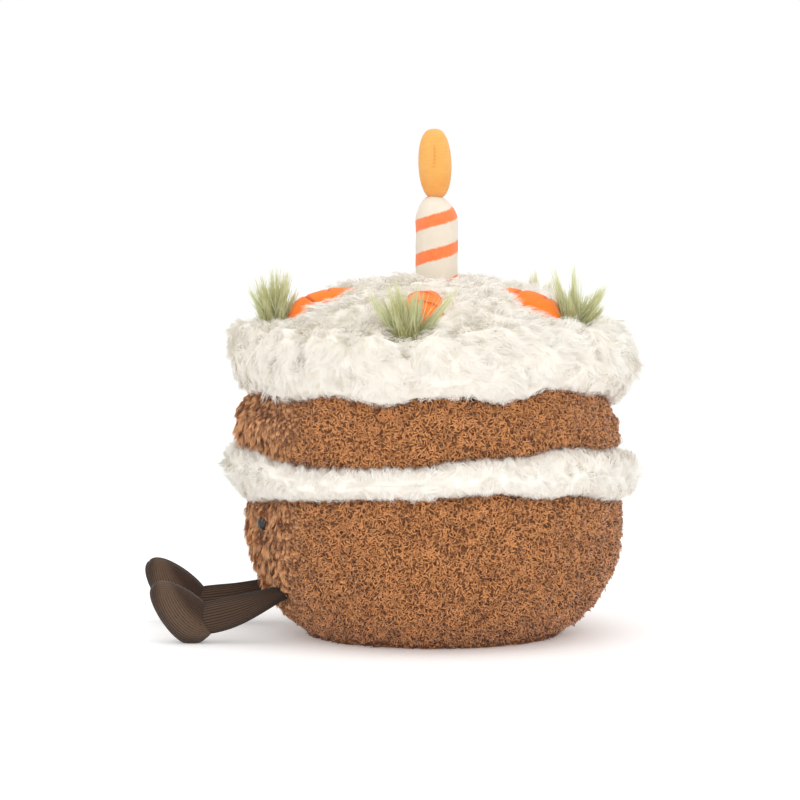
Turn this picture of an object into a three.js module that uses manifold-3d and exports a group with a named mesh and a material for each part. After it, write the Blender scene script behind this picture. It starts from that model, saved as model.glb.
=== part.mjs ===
// A soft toy in the shape of a carrot cake: two brown sponge layers with a band of white cream between them,
// white icing on top with five carrots round a candle, and two stuffed legs stretched out in front.
//
// Millimetres. +Z is up, the toy faces -X, and the origin is the middle of the flat base that it sits on.
import * as THREE from "three";
import { ImprovedNoise } from "three/addons/math/ImprovedNoise.js";
import { mergeVertices } from "three/addons/utils/BufferGeometryUtils.js";
import Module from "manifold-3d";

const wasm = await Module();
wasm.setup();
const noise = new ImprovedNoise();

// ---------------------------------------------------------------- driving dimensions
const GAP = 0.3; // between two pieces that touch
const SIDES = 72; // round each layer, the same in all of them so that their seams match

const BASE_RADIUS = 42; // flat spot that the toy sits on
const SPONGE_RADIUS = 80; // lower sponge at its widest
const BOWL_HEIGHT = 49; // where the rounded bottom has reached the full radius
const SEAM_RADIUS = 74; // the layers are drawn in to this at each seam
const BAND_FOOT = 61; // seam heights
const BAND_TOP = 79;
const ICING_FOOT = 102;
const BAND_RADIUS = 89;
const UPPER_SPONGE_RADIUS = 82; // at its foot
const UPPER_SPONGE_TOP_RADIUS = 79;

const ICING_RADIUS = 88; // rolled rim of the icing
const ICING_TOP = 157; // crown of the dome
const RIM_TOP = 135.5; // where the rim meets the dome

const CANDLE_X = 1.5;
const CANDLE_RADIUS = 9;
const CANDLE_TOP = 188.5;
const CANDLE_FOOT = 144; // sunk in the icing
const FLAME_HALF_WIDTH = 7.1;
const FLAME_HALF_DEPTH = 5.2;
const FLAME_FOOT = 187;
const FLAME_TOP = 217;

const CARROTS = 5;
const FIRST_CARROT = 189; // degrees round from +X
const CARROT_TIP_RADIUS = 28; // from the candle's axis
const CARROT_CROWN_RADIUS = 64;
const CARROT_HALF_WIDTH = 15; // before its taper, which leaves about 11
const CARROT_HALF_HEIGHT = 12.5;
const CARROT_SWAY = [2, 13, -3, -5, 4]; // degrees that each one's tip is sewn on askew

const LEAF_RADIUS = 67; // where each tuft of leaves grows
const LEAF_FOOT = 128; // sunk in the icing
const LEAF_LEANS = [10, 6, 12, 12, 42]; // degrees that each tuft leans away from the candle
const LEAF_BLADES = 10;
const LEAF_LENGTH = 31;

const LEG_ANGLE = 27; // degrees to each side of straight ahead, where a leg leaves the sponge
const LEG_HEIGHT = 21.5;
const FOOT_Y = 33; // of the foot's middle, to each side
const FOOT_HALF_WIDTH = 9; // seen from the side
const FOOT_HALF_DEPTH = 7.5;
const HEEL_HEIGHT = 2.33; // of the foot's axis at its heel, so that the sole's edge rests on the ground

const EYE_RADIUS = 3;
const EYE_ANGLE = 24;
const EYE_HEIGHT = 50;

// ---------------------------------------------------------------- small tools
const radians = THREE.MathUtils.degToRad;
const smooth = THREE.MathUtils.smoothstep;
const polar = (radius, degrees, z) =>
  new THREE.Vector3(radius * Math.cos(radians(degrees)), radius * Math.sin(radians(degrees)), z);
const UP = new THREE.Vector3(0, 0, 1);

// Keeps only a geometry's positions, with each point stored once.
function weld(geometry) {
  geometry.deleteAttribute("normal");
  geometry.deleteAttribute("uv");
  return mergeVertices(geometry, 1e-4);
}

// Moves every vertex: `move` changes the point, and may read the surface's outward normal there.
function reshape(geometry, move) {
  geometry.computeVertexNormals();
  const { position, normal } = geometry.attributes;
  const point = new THREE.Vector3();
  const outward = new THREE.Vector3();
  for (let i = 0; i < position.count; i++) {
    point.fromBufferAttribute(position, i);
    outward.fromBufferAttribute(normal, i);
    move(point, outward);
    position.setXYZ(i, point.x, point.y, point.z);
  }
  geometry.deleteAttribute("normal");
  return geometry;
}

function solidOf(geometry) {
  const vertProperties = geometry.attributes.position.array;
  const triVerts = Uint32Array.from(geometry.index.array);
  return new wasm.Manifold(new wasm.Mesh({ numProp: 3, vertProperties, triVerts }));
}

function geometryOf(solid) {
  const { vertProperties, triVerts } = solid.getMesh();
  const geometry = new THREE.BufferGeometry();
  geometry.setAttribute("position", new THREE.BufferAttribute(vertProperties, 3));
  geometry.setIndex(new THREE.BufferAttribute(triVerts, 1));
  geometry.computeVertexNormals();
  return geometry;
}

// Cuts `tools` out of a solid, and drops the loose scraps that this leaves.
function cut(solid, ...tools) {
  const bodies = wasm.Manifold.difference([solid, ...tools]).decompose();
  return bodies.reduce((largest, body) => (body.volume() > largest.volume() ? body : largest));
}

// Lumps about `size` across, up to `height` deep or proud.
const lumps = (p, size, height) => 2 * height * noise.noise(p.x / size, p.y / size, p.z / size);

const at = (r, z) => new THREE.Vector2(r, z);

// An elliptical arc of a half outline, in degrees from the outward direction.
const arc = (r, z, reach, rise, from, to, steps) =>
  new THREE.EllipseCurve(r, z, reach, rise, radians(from), radians(to)).getPoints(steps);

// Turns a half outline about Z. The outline starts at the foot of the axis and ends at the top of it.
const turned = (outline, sides) => weld(new THREE.LatheGeometry(outline, sides).rotateX(Math.PI / 2));

// A closed, stuffed form along a path. `girth(along)` gives its half width and half height where it is that
// share of the way along, and both ends are rounded by `blunt`: near 0 is square, 1 is an ellipse.
function stuffed(path, up, sides, rings, blunt, girth) {
  return reshape(weld(new THREE.SphereGeometry(1, sides, rings)), (p) => {
    const polarAngle = Math.acos(THREE.MathUtils.clamp(p.y, -1, 1));
    const along = (1 - Math.cos(polarAngle)) / 2;
    const round = Math.atan2(p.z, p.x);
    const swell = Math.pow(Math.sin(polarAngle), blunt);
    const [halfWidth, halfHeight] = girth(along);
    const forward = path.getTangent(along);
    const side = new THREE.Vector3().crossVectors(forward, up).normalize();
    const top = new THREE.Vector3().crossVectors(side, forward);
    p.copy(path.getPoint(along));
    p.addScaledVector(side, swell * halfWidth * Math.cos(round));
    p.addScaledVector(top, -swell * halfHeight * Math.sin(round));
  });
}

// ---------------------------------------------------------------- the stack's uneven seams
// Each seam rises and falls round the toy: [waves round, height, where it peaks in degrees].
const SEAM_WAVES = {
  bandFoot: [[1, 2.4, 277], [2, 1.9, 277], [3, 1.1, 277], [9, 0.5, 12]],
  bandTop: [[0, -0.6, 0], [1, 2.2, 315], [2, 1.6, 315], [3, 0.8, 320], [10, 0.7, 31]],
  icingFoot: [[0, 1.5, 0], [1, 1.4, 300], [4, 1.2, 316], [11, 1.4, 272]],
};

const waves = (seam, angle) =>
  SEAM_WAVES[seam]
    .map(([count, height, peak]) => height * Math.cos(count * (angle - radians(peak))))
    .reduce((sum, height) => sum + height, 0);

// How far the stack is lifted at a height: each seam's own wave there, and an even blend between seams.
function lift(angle, z) {
  const knots = [
    [BOWL_HEIGHT / 2, 0],
    [BAND_FOOT, waves("bandFoot", angle)],
    [BAND_TOP, waves("bandTop", angle)],
    [ICING_FOOT, waves("icingFoot", angle)],
    [RIM_TOP, 0],
  ];
  const next = knots.findIndex(([height]) => z < height);
  if (next < 1) return 0;
  const [[z0, lift0], [z1, lift1]] = knots.slice(next - 1, next + 1);
  return THREE.MathUtils.mapLinear(z, z0, z1, lift0, lift1);
}

// The stuffing lets the upper sponge sag a little towards the face.
const SAG = -3.2;
const SAG_HEIGHT = 91;
const SAG_SPREAD = 14;
const sag = (z) => SAG * Math.exp(-(((z - SAG_HEIGHT) / SAG_SPREAD) ** 2));

// Settles a point of the straight stack into its place in the uneven one.
function settle(p) {
  const radius = Math.hypot(p.x, p.y);
  p.z += lift(Math.atan2(p.y, p.x), p.z) * smooth(radius, 0, SEAM_RADIUS);
  p.x += sag(p.z);
}

// A layer of pile fabric: its pile is uneven away from the seams, where `free(point)` is above 0.
function layer(outline, pileSize, pileHeight, free) {
  return reshape(turned(outline, SIDES), (p, outward) => {
    p.addScaledVector(outward, lumps(p, pileSize, pileHeight) * free(p));
    settle(p);
  });
}

// ---------------------------------------------------------------- the stack
function lowerSponge() {
  const tuck = 5; // height of the turn-in at the seam
  const outline = [
    at(0, 0),
    ...arc(BASE_RADIUS, BOWL_HEIGHT, SPONGE_RADIUS - BASE_RADIUS, BOWL_HEIGHT, -90, 0, 7),
    ...arc(SEAM_RADIUS, BAND_FOOT - tuck, SPONGE_RADIUS - SEAM_RADIUS, tuck, 0, 90, 2),
    at(0, BAND_FOOT),
  ];
  return layer(outline, 9, 1.2, (p) => smooth(p.z, 0, 8) * smooth(BAND_FOOT - p.z, 0, tuck));
}

function creamBand() {
  const foot = BAND_FOOT + GAP;
  const outline = [
    at(0, foot),
    ...arc(SEAM_RADIUS, (foot + BAND_TOP) / 2, BAND_RADIUS - SEAM_RADIUS, (BAND_TOP - foot) / 2, -90, 90, 6),
    at(0, BAND_TOP),
  ];
  return layer(outline, 8, 2.4, (p) => smooth(Math.hypot(p.x, p.y), SEAM_RADIUS, BAND_RADIUS));
}

function upperSponge() {
  const foot = BAND_TOP + GAP;
  const tuck = 4;
  const outline = [
    at(0, foot),
    ...arc(SEAM_RADIUS, foot + tuck, UPPER_SPONGE_RADIUS - SEAM_RADIUS, tuck, -90, 0, 2),
    at(UPPER_SPONGE_RADIUS, (foot + ICING_FOOT) / 2),
    ...arc(SEAM_RADIUS, ICING_FOOT - tuck, UPPER_SPONGE_TOP_RADIUS - SEAM_RADIUS, tuck, 0, 90, 2),
    at(0, ICING_FOOT),
  ];
  return layer(outline, 9, 1.2, (p) => smooth(p.z, foot, foot + tuck) * smooth(ICING_FOOT - p.z, 0, tuck));
}

// The icing's half outline: an overhanging rolled rim, and a dome that starts in the dip behind it.
function icingOutline() {
  const foot = ICING_FOOT + GAP;
  const rimAndDome = new THREE.SplineCurve([
    at(SEAM_RADIUS, foot),
    at(ICING_RADIUS - 4.5, foot + 1.5),
    at(ICING_RADIUS, 117),
    at(ICING_RADIUS - 4.5, RIM_TOP - 7.5),
    at(ICING_RADIUS - 12, RIM_TOP - 0.5),
    at(LEAF_RADIUS, RIM_TOP + 0.5),
    at(50, 147),
    at(26, 154.5),
    at(0, ICING_TOP),
  ]);
  return [at(0, foot), ...rimAndDome.getPoints(15)];
}

// ---------------------------------------------------------------- carrots and their leaves
const carrotAngles = Array.from({ length: CARROTS }, (_, i) => FIRST_CARROT + (i * 360) / CARROTS);
const everyCarrot = carrotAngles.map((_, i) => i);

// From a carrot's crown, at the rim, to its tip near the candle; `grown` makes it that much longer.
function carrotPath(i, grown = 0) {
  const angle = carrotAngles[i];
  const crown = polar(CARROT_CROWN_RADIUS + grown, angle, 133.5);
  const middle = polar((CARROT_CROWN_RADIUS + CARROT_TIP_RADIUS) / 2, angle + CARROT_SWAY[i] / 3, 142.5);
  const tip = polar(CARROT_TIP_RADIUS - grown, angle + CARROT_SWAY[i], 146);
  return new THREE.QuadraticBezierCurve3(crown, middle, tip);
}

function carrot(i, grown = 0) {
  const taper = (along) => 1 - 0.62 * along;
  const girth = (along) => [
    CARROT_HALF_WIDTH * taper(along) + grown,
    CARROT_HALF_HEIGHT * taper(along) + grown,
  ];
  return stuffed(carrotPath(i, grown), UP, 12, 9, 0.7, girth);
}

// Where a tuft grows: its own +Z runs up through the leaves, and +X points away from the candle.
function leafPlace(i) {
  const place = new THREE.Object3D();
  place.position.copy(polar(LEAF_RADIUS, carrotAngles[i], LEAF_FOOT));
  place.rotation.set(0, radians(LEAF_LEANS[i]), radians(carrotAngles[i]), "ZYX");
  place.updateMatrix();
  return place.matrix;
}

const TUFT_FOOT_RADIUS = 7;
const TUFT_NECK_RADIUS = 9;
const TUFT_NECK = 7; // height at which the leaves come out of the icing

// The thick middle of a tuft, where its leaves are still bunched together.
function leafBunch() {
  const outline = [
    at(0, 0),
    at(TUFT_FOOT_RADIUS, 0),
    at(TUFT_NECK_RADIUS, TUFT_NECK),
    at(TUFT_NECK_RADIUS - 1.5, TUFT_NECK + 5),
    at(0, TUFT_NECK + 8),
  ];
  return turned(outline, 10);
}

// One tapered leaf that bends outwards; the ones further from the tuft's middle lean more.
function leaf(i) {
  const share = Math.sqrt((i + 0.5) / LEAF_BLADES);
  const length = LEAF_LENGTH * (1 - 0.2 * share + 0.1 * Math.sin(i * 2.4));
  const cone = new THREE.ConeGeometry(3.2, length, 3, 2).translate(0, length / 2, 0).rotateX(Math.PI / 2);
  return reshape(weld(cone), (p) => {
    p.x += 3.5 * share * (p.z / length) ** 2;
    p.applyAxisAngle(new THREE.Vector3(0, 1, 0), radians(24 * share));
    p.x += 4 * share;
    p.z += 1;
    p.applyAxisAngle(UP, radians(137.5 * i));
  });
}

function leafTuft(i) {
  const leaves = Array.from({ length: LEAF_BLADES }, (_, n) => solidOf(leaf(n)));
  const tuft = wasm.Manifold.union([solidOf(leafBunch()), ...leaves]);
  const inPlace = geometryOf(tuft).applyMatrix4(leafPlace(i));
  return geometryOf(cut(solidOf(inPlace), solidOf(carrot(i, GAP))));
}

// The room that a tuft needs in the icing. It opens upwards from the neck, so that the leaves hang free.
function leafRoom(i) {
  const opening = 30;
  const outline = [
    at(0, -GAP),
    at(TUFT_FOOT_RADIUS + GAP, -GAP),
    at(TUFT_NECK_RADIUS + GAP, TUFT_NECK),
    at(TUFT_NECK_RADIUS + opening, TUFT_NECK + opening),
    at(0, TUFT_NECK + opening),
  ];
  return turned(outline, 12).applyMatrix4(leafPlace(i));
}

// ---------------------------------------------------------------- candle and flame
function candle() {
  const top = 11; // height of the rounded top
  const outline = [
    at(0, CANDLE_FOOT),
    at(CANDLE_RADIUS, CANDLE_FOOT),
    ...arc(0, CANDLE_TOP - top, CANDLE_RADIUS, top, 0, 80, 5),
    at(0, CANDLE_TOP),
  ];
  return turned(outline, 20).translate(CANDLE_X, 0, 0);
}

function candleRoom() {
  const shaft = new THREE.CylinderGeometry(CANDLE_RADIUS + GAP, CANDLE_RADIUS + GAP, 40, 20);
  return weld(shaft.rotateX(Math.PI / 2).translate(CANDLE_X, 0, CANDLE_FOOT - GAP + 20));
}

function flame(grown = 0) {
  const foot = new THREE.Vector3(CANDLE_X - 0.2, 0, FLAME_FOOT - grown);
  const tip = new THREE.Vector3(CANDLE_X - 1.3, 0, FLAME_TOP + grown);
  const girth = () => [FLAME_HALF_DEPTH + grown, FLAME_HALF_WIDTH + grown];
  return stuffed(new THREE.LineCurve3(foot, tip), new THREE.Vector3(1, 0, 0), 12, 10, 0.75, girth);
}

// ---------------------------------------------------------------- legs and eyes
// `side` is -1 for the toy's left and 1 for its right; the right leg lies a little lower and further out.
const LEGS = {
  left: { side: -1, reach: 0, drop: 0 },
  right: { side: 1, reach: 4.5, drop: 3.2 },
};

function legPath({ side, reach, drop }) {
  const root = polar(SPONGE_RADIUS - 19, 180 - side * LEG_ANGLE, LEG_HEIGHT + 1 - drop);
  const leaving = polar(SPONGE_RADIUS - 9, 180 - side * LEG_ANGLE, LEG_HEIGHT - drop);
  const shin = new THREE.Vector3(-85 - reach / 2, side * FOOT_Y, 15 - drop);
  const ankle = new THREE.Vector3(-109 - reach, side * FOOT_Y, 8.5);
  return new THREE.CatmullRomCurve3([root, leaving, shin, ankle]);
}

// The leg is sewn flat where it leaves the body and fills out towards the foot.
function shank(pose, grown = 0) {
  const girth = (along) => [5.4 + 1.4 * along + grown, 2.2 + 5.2 * smooth(along, 0.2, 0.85) + grown];
  return stuffed(legPath(pose), UP, 12, 11, 0.4, girth);
}

function foot({ side, reach }) {
  const heel = new THREE.Vector3(-98.5 - reach, side * FOOT_Y, HEEL_HEIGHT);
  const sole = new THREE.Vector3(-110.5 - reach, side * FOOT_Y, HEEL_HEIGHT + 11.3);
  const toe = new THREE.Vector3(-117 - reach, side * FOOT_Y, HEEL_HEIGHT + 26.3);
  const girth = (along) => [FOOT_HALF_DEPTH, FOOT_HALF_WIDTH * (1.06 - 0.16 * along)];
  const path = new THREE.QuadraticBezierCurve3(heel, sole, toe);
  return stuffed(path, new THREE.Vector3(1, 0, 0), 14, 10, 0.72, girth);
}

const leg = (pose) => geometryOf(solidOf(shank(pose)).add(solidOf(foot(pose))));

function eye({ side }, grown = 0) {
  const { x, y, z } = polar(SPONGE_RADIUS - 1, 180 - side * EYE_ANGLE, EYE_HEIGHT);
  return weld(new THREE.SphereGeometry(EYE_RADIUS + grown, 10, 7)).translate(x, y, z);
}

// ---------------------------------------------------------------- what is sewn into each layer
// How far the icing's pile is pressed down beside the carrots: 1 under one, 0 well away from all of them.
function pressed(p) {
  const flat = new THREE.Vector3(p.x, p.y, 0);
  const distances = everyCarrot.map((i) => {
    const { v0, v2 } = carrotPath(i);
    const axis = new THREE.Line3(v0.setZ(0), v2.setZ(0));
    return axis.closestPointToPoint(flat, true, new THREE.Vector3()).distanceTo(flat);
  });
  return 1 - smooth(Math.min(...distances), 6, 15);
}

function icing() {
  const trough = 4; // depth of the dip that each carrot lies in
  const free = (p) => smooth(Math.hypot(p.x, p.y), 22, 50) * smooth(p.z, ICING_FOOT, ICING_FOOT + 8);
  const piled = layer(icingOutline(), 9, 2.6, free);
  const dipped = reshape(piled, (p) => {
    if (p.z > RIM_TOP - 10) p.z -= trough * pressed(p);
  });
  const rooms = everyCarrot.flatMap((i) => [solidOf(carrot(i, GAP)), solidOf(leafRoom(i))]);
  return geometryOf(cut(solidOf(dipped), solidOf(candleRoom()), ...rooms));
}

function lowerSpongeWithSockets() {
  const rooms = Object.values(LEGS).flatMap((pose) => [solidOf(shank(pose, GAP)), solidOf(eye(pose, GAP))]);
  return geometryOf(cut(solidOf(lowerSponge()), ...rooms));
}

const candleUnderFlame = () => geometryOf(cut(solidOf(candle()), solidOf(flame(GAP))));

// ---------------------------------------------------------------- fabrics
const fabric = (color, roughness = 0.9) => new THREE.MeshStandardMaterial({ color, roughness });
const FABRICS = {
  sponge: fabric("#a46c46"),
  cream: fabric("#f4ecdc"),
  candle: fabric("#f6e9d4", 0.8),
  flame: fabric("#fbb75c", 0.8),
  carrot: fabric("#fa7f22", 0.8),
  leaf: fabric("#a5a36a"),
  corduroy: fabric("#54402f"),
  bead: fabric("#0d0c0c", 0.15),
};

// ---------------------------------------------------------------- the toy
const toy = new THREE.Group();

function sew(name, geometry, material) {
  const mesh = new THREE.Mesh(geometry, material);
  mesh.name = name;
  toy.add(mesh);
}

sew("sponge_lower", lowerSpongeWithSockets(), FABRICS.sponge);
sew("cream_band", creamBand(), FABRICS.cream);
sew("sponge_upper", upperSponge(), FABRICS.sponge);
sew("icing", icing(), FABRICS.cream);
sew("candle", candleUnderFlame(), FABRICS.candle);
sew("flame", flame(), FABRICS.flame);
for (const i of everyCarrot) {
  sew(`carrot_${i + 1}`, carrot(i), FABRICS.carrot);
  sew(`leaves_${i + 1}`, leafTuft(i), FABRICS.leaf);
}
for (const [name, pose] of Object.entries(LEGS)) {
  sew(`leg_${name}`, leg(pose), FABRICS.corduroy);
  sew(`eye_${name}`, eye(pose), FABRICS.bead);
}

export default toy;
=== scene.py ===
# %% [markdown]
# # A carrot cake soft toy
#
# The toy is a plush cake. Two layers of curly brown pile stand for the sponge, with a band of long white pile
# between them for the cream and a fluffy white top for the icing. On the icing lie five small stuffed
# carrots round a cloth candle, and two corduroy legs stick out in front.
#
# Everything here is sewn cloth over stuffing, so there are two kinds of shape to make. The stuffed forms are
# smooth closed shells. The pile is thousands of small locks of fibre that grow on those shells. Plush is often
# faked with a bumpy material on a smooth ball, but its outline then stays hard, and it is the outline that
# tells the eye that a thing is soft.

# %% The frame that everything is built around
import math
import random
from functools import partial

import bmesh
import bpy
import numpy as np
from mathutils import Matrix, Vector, noise
from mathutils.bvhtree import BVHTree


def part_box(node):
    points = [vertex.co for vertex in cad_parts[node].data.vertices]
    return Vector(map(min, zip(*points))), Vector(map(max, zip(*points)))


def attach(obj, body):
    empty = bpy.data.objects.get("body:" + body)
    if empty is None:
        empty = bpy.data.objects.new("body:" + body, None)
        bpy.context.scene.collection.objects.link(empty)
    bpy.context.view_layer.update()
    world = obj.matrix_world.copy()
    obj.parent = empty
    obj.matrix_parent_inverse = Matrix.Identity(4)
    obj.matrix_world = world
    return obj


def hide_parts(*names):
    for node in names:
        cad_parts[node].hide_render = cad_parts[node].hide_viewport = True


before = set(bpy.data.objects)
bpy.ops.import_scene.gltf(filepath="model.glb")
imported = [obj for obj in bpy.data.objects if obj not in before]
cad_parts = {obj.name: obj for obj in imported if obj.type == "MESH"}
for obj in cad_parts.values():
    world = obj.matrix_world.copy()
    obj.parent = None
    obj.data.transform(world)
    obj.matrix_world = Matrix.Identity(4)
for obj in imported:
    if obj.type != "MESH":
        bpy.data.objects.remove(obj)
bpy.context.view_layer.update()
scene = bpy.context.scene
MM = 0.001
noise.seed_set(5)  # without a seed, Blender's vector noise starts from the time of day

# %% [markdown]
# ## Camera and light
#
# A toy like this is usually shown in a white cove. The camera stands well back with a long lens, so that the
# layers look almost level, and a little above the table.
#
# The light could be one strong lamp, but pile would then turn into a field of hard little shadows. A white
# world all round with two large soft panels, one in front and one above, keeps the shadows wide and faint.

# %% Camera
TARGET = Vector((-14.2, 0, 100.6)) * MM
CAMERA_DISTANCE = 1.8
CAMERA_ELEVATION = math.radians(4.5)
VIEW_WIDTH = 0.344  # what the square picture spans at the target

camera_data = bpy.data.cameras.new("camera")
camera_data.lens = camera_data.sensor_width * CAMERA_DISTANCE / VIEW_WIDTH
camera = bpy.data.objects.new("camera", camera_data)
camera_back = Vector((0, -math.cos(CAMERA_ELEVATION), math.sin(CAMERA_ELEVATION)))
camera.location = TARGET + CAMERA_DISTANCE * camera_back
camera.rotation_euler = (math.radians(90) - CAMERA_ELEVATION, 0, 0)
scene.collection.objects.link(camera)
scene.camera = camera
print("camera: lens", round(camera_data.lens, 1), "mm")


# %% Light
def softbox(name, place, width, power):
    """A square panel of light that faces the toy."""
    data = bpy.data.lights.new(name, "AREA")
    data.size = width
    data.energy = power
    panel = bpy.data.objects.new(name, data)
    panel.location = place
    panel.rotation_euler = (TARGET - Vector(place)).to_track_quat("-Z", "Y").to_euler()
    scene.collection.objects.link(panel)


world = bpy.data.worlds.new("cove")
world.use_nodes = True
world.node_tree.nodes["Background"].inputs["Color"].default_value = (1, 1, 1, 1)
world.node_tree.nodes["Background"].inputs["Strength"].default_value = 1.0
scene.world = world
scene.view_settings.view_transform = "Standard"
scene.cycles.diffuse_bounces = 10  # white pile hands light on from fibre to fibre many times
softbox("panel_front", (0.25, -1.45, 0.78), 0.9, 5.7)
softbox("panel_above", (0.1, -0.25, 1.7), 0.9, 4.5)


# %% [markdown]
# ## Small tools for shapes
#
# Two helpers make nearly all of the stuffed forms. `turned` spins a half outline about the upright axis, as a
# potter would, for the layers and the candle. `stuffed` bends and swells a ball along a path, for the carrots,
# the flame and the legs. A ball keeps its poles closed, so a form made from it never has a hole at its end.

# %% Outlines and turned forms
def curve(points, share):
    """The place at a share, from 0 to 1, of a smooth curve through the points."""
    last = len(points) - 1
    i = min(int(share * last), last - 1)
    u = share * last - i
    p1, p2 = points[i], points[i + 1]
    p0 = points[i - 1] if i else 2 * p1 - p2
    p3 = points[i + 2] if i + 2 <= last else 2 * p2 - p1
    bend = 2 * p0 - 5 * p1 + 4 * p2 - p3
    twist = 3 * p1 - p0 - 3 * p2 + p3
    return 0.5 * (2 * p1 + u * (p2 - p0) + u**2 * bend + u**3 * twist)


def arc(radius, height, reach, rise, start, end, steps):
    """Points of a half outline on an elliptical arc, from a start to an end in degrees."""
    turns = [math.radians(start + (end - start) * i / steps) for i in range(steps + 1)]
    return [Vector((radius + reach * math.cos(t), height + rise * math.sin(t))) for t in turns]


def turned(outline, steps):
    """A closed form spun from a half outline in millimetres, which starts and ends on the axis."""
    bm = bmesh.new()
    verts = [bm.verts.new((r * MM, 0, z * MM)) for r, z in outline]
    edges = [bm.edges.new(pair) for pair in zip(verts, verts[1:])]
    bmesh.ops.spin(
        bm, geom=verts + edges, cent=(0, 0, 0), axis=(0, 0, 1), angle=math.tau, steps=steps, use_merge=True
    )
    bmesh.ops.remove_doubles(bm, verts=bm.verts, dist=1e-6)
    bmesh.ops.recalc_face_normals(bm, faces=bm.faces)
    return bm


def finely(outline, step):
    """The same outline with points no further apart than `step` millimetres, except where it is level."""
    points = [outline[0]]
    for a, b in zip(outline, outline[1:]):
        cuts = 1 if abs(a.y - b.y) < 0.1 else math.ceil((b - a).length / step)
        points += [a.lerp(b, (i + 1) / cuts) for i in range(cuts)]
    return points


def smooth(value, low, high):
    """0 below low, 1 above high, and an even blend between them."""
    t = max(0.0, min(1.0, (value - low) / (high - low)))
    return t * t * (3 - 2 * t)


def polar(radius, degrees, z):
    """A point given in millimetres and degrees round the upright axis, in metres."""
    angle = math.radians(degrees)
    return Vector((radius * math.cos(angle), radius * math.sin(angle), z)) * MM


print("a quarter arc in 4 steps has", len(arc(0, 0, 1, 1, 0, 90, 4)), "points")


# %% Stuffed forms
def stuffed(path, up, sides, rings, blunt, girth):
    """A ball swelled along a path. `girth` gives its half width and half height at a share of the way.

    Each vertex keeps its share of the way as `along`, how far it is turned round the path as `turn`, and how
    far it lies, in millimetres round the form, from the line that runs along the bottom as `from_foot`.
    """
    bm = bmesh.new()
    bmesh.ops.create_uvsphere(bm, u_segments=sides, v_segments=rings, radius=1)
    along_of, turn_of, foot_of = (bm.verts.layers.float.new(n) for n in ("along", "turn", "from_foot"))
    for vert in bm.verts:
        x, y, z = vert.co
        along = (1 - z) / 2
        swell = math.hypot(x, y) ** blunt
        half_width, half_height = (swell * half for half in girth(along))
        forward = (path(min(along + 0.001, 1)) - path(max(along - 0.001, 0))).normalized()
        side = forward.cross(up).normalized()
        top = side.cross(forward)
        turn = math.atan2(y, x)
        vert.co = path(along) + (side * (half_width * math.cos(turn)) + top * (half_height * math.sin(turn))) * MM
        rise = math.pi / 2 + math.copysign(math.asin(min(1.0, abs(y) / max(math.hypot(x, y), 1e-9))), y)
        vert[along_of] = along
        vert[turn_of] = turn
        vert[foot_of] = rise * math.hypot(half_width * math.cos(rise / 2), half_height * math.sin(rise / 2))
    bmesh.ops.recalc_face_normals(bm, faces=bm.faces)
    return bm


def bend_through(start, pull, end):
    """A path from a start to an end that bends towards the point `pull`."""
    return lambda t: start * (1 - t) ** 2 + pull * (2 * t * (1 - t)) + end * t**2


def push_out(bm, distance):
    """Moves each vertex along its normal by `distance(vert)`."""
    bm.normal_update()
    moves = [(vert, vert.normal * distance(vert)) for vert in bm.verts]
    for vert, move in moves:
        vert.co += move


print("helpers for stuffed forms:", [made.__name__ for made in (stuffed, bend_through, push_out)])


# %% Pieces of the toy
def piece_of(name, mesh, material, slot, stands_for=()):
    """Puts a finished mesh into the toy. `stands_for` names the solids that it takes the place of."""
    mesh.name = name
    piece = bpy.data.objects.new(name, mesh)
    scene.collection.objects.link(piece)
    mesh.polygons.foreach_set("use_smooth", [True] * len(mesh.polygons))
    mesh.materials.clear()
    mesh.materials.append(material)
    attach(piece, "root")
    if stands_for:
        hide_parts(*stands_for)
    mesh.calc_loop_triangles()
    print(f"{name}: {len(mesh.loop_triangles)} triangles")
    return piece


def mesh_of(bm):
    """Keeps a form as a mesh, with its faces and their corners put in order first.

    The operators leave both in an order that differs from run to run, and random points on the faces would
    then fall elsewhere each time.
    """
    bm.verts.index_update()
    for i, face in enumerate(sorted(bm.faces, key=lambda face: sorted(vert.index for vert in face.verts))):
        face.index = i
    bm.faces.sort()
    mesh = bpy.data.meshes.new("form")
    bm.to_mesh(mesh)
    bm.free()
    order = []
    for face in mesh.polygons:
        first = min(range(face.loop_total), key=lambda i: face.vertices[i])
        order += [face.loop_start + (first + i) % face.loop_total for i in range(face.loop_total)]
    for index in ("vertex_index", "edge_index"):
        corners = np.empty(len(mesh.loops), dtype=np.int32)
        mesh.loops.foreach_get(index, corners)
        mesh.loops.foreach_set(index, corners[order])
    mesh.update()
    return mesh


# %% [markdown]
# ## Small tools for finishes
#
# Every fabric on the toy is a Principled shader with a little sheen, because fibres that stand up catch the
# light at the edge of a form. What sets the fabrics apart is colour that changes along the fibre and from
# lock to lock, and a fine relief in the flat ones.
#
# Two effects are shared. `pile_colour` darkens a fibre towards its root, where light doesn't reach, and tints
# each lock a little on its own. `nap` is the fine fuzz of a short-haired cloth.

# %% Node helpers
def pick(sockets, name):
    return next(s for s in sockets if s.name == name and s.enabled)


def node(tree, kind, inputs=None, **settings):
    """Adds a node. `inputs` maps a socket's name to a value, or to the output that feeds it."""
    made = tree.nodes.new(kind)
    for name, value in settings.items():
        setattr(made, name, value)
    for name, value in (inputs or {}).items():
        target = pick(made.inputs, name)
        if isinstance(value, bpy.types.NodeSocket):
            tree.links.new(value, target)
        else:
            target.default_value = value
    return made


def out(made, name):
    return pick(made.outputs, name)


def maths(tree, operation, a, b=0.0):
    made = node(tree, "ShaderNodeMath", operation=operation)
    for target, value in zip(made.inputs, (a, b)):
        if isinstance(value, bpy.types.NodeSocket):
            tree.links.new(value, target)
        else:
            target.default_value = value
    return made.outputs[0]


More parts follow.
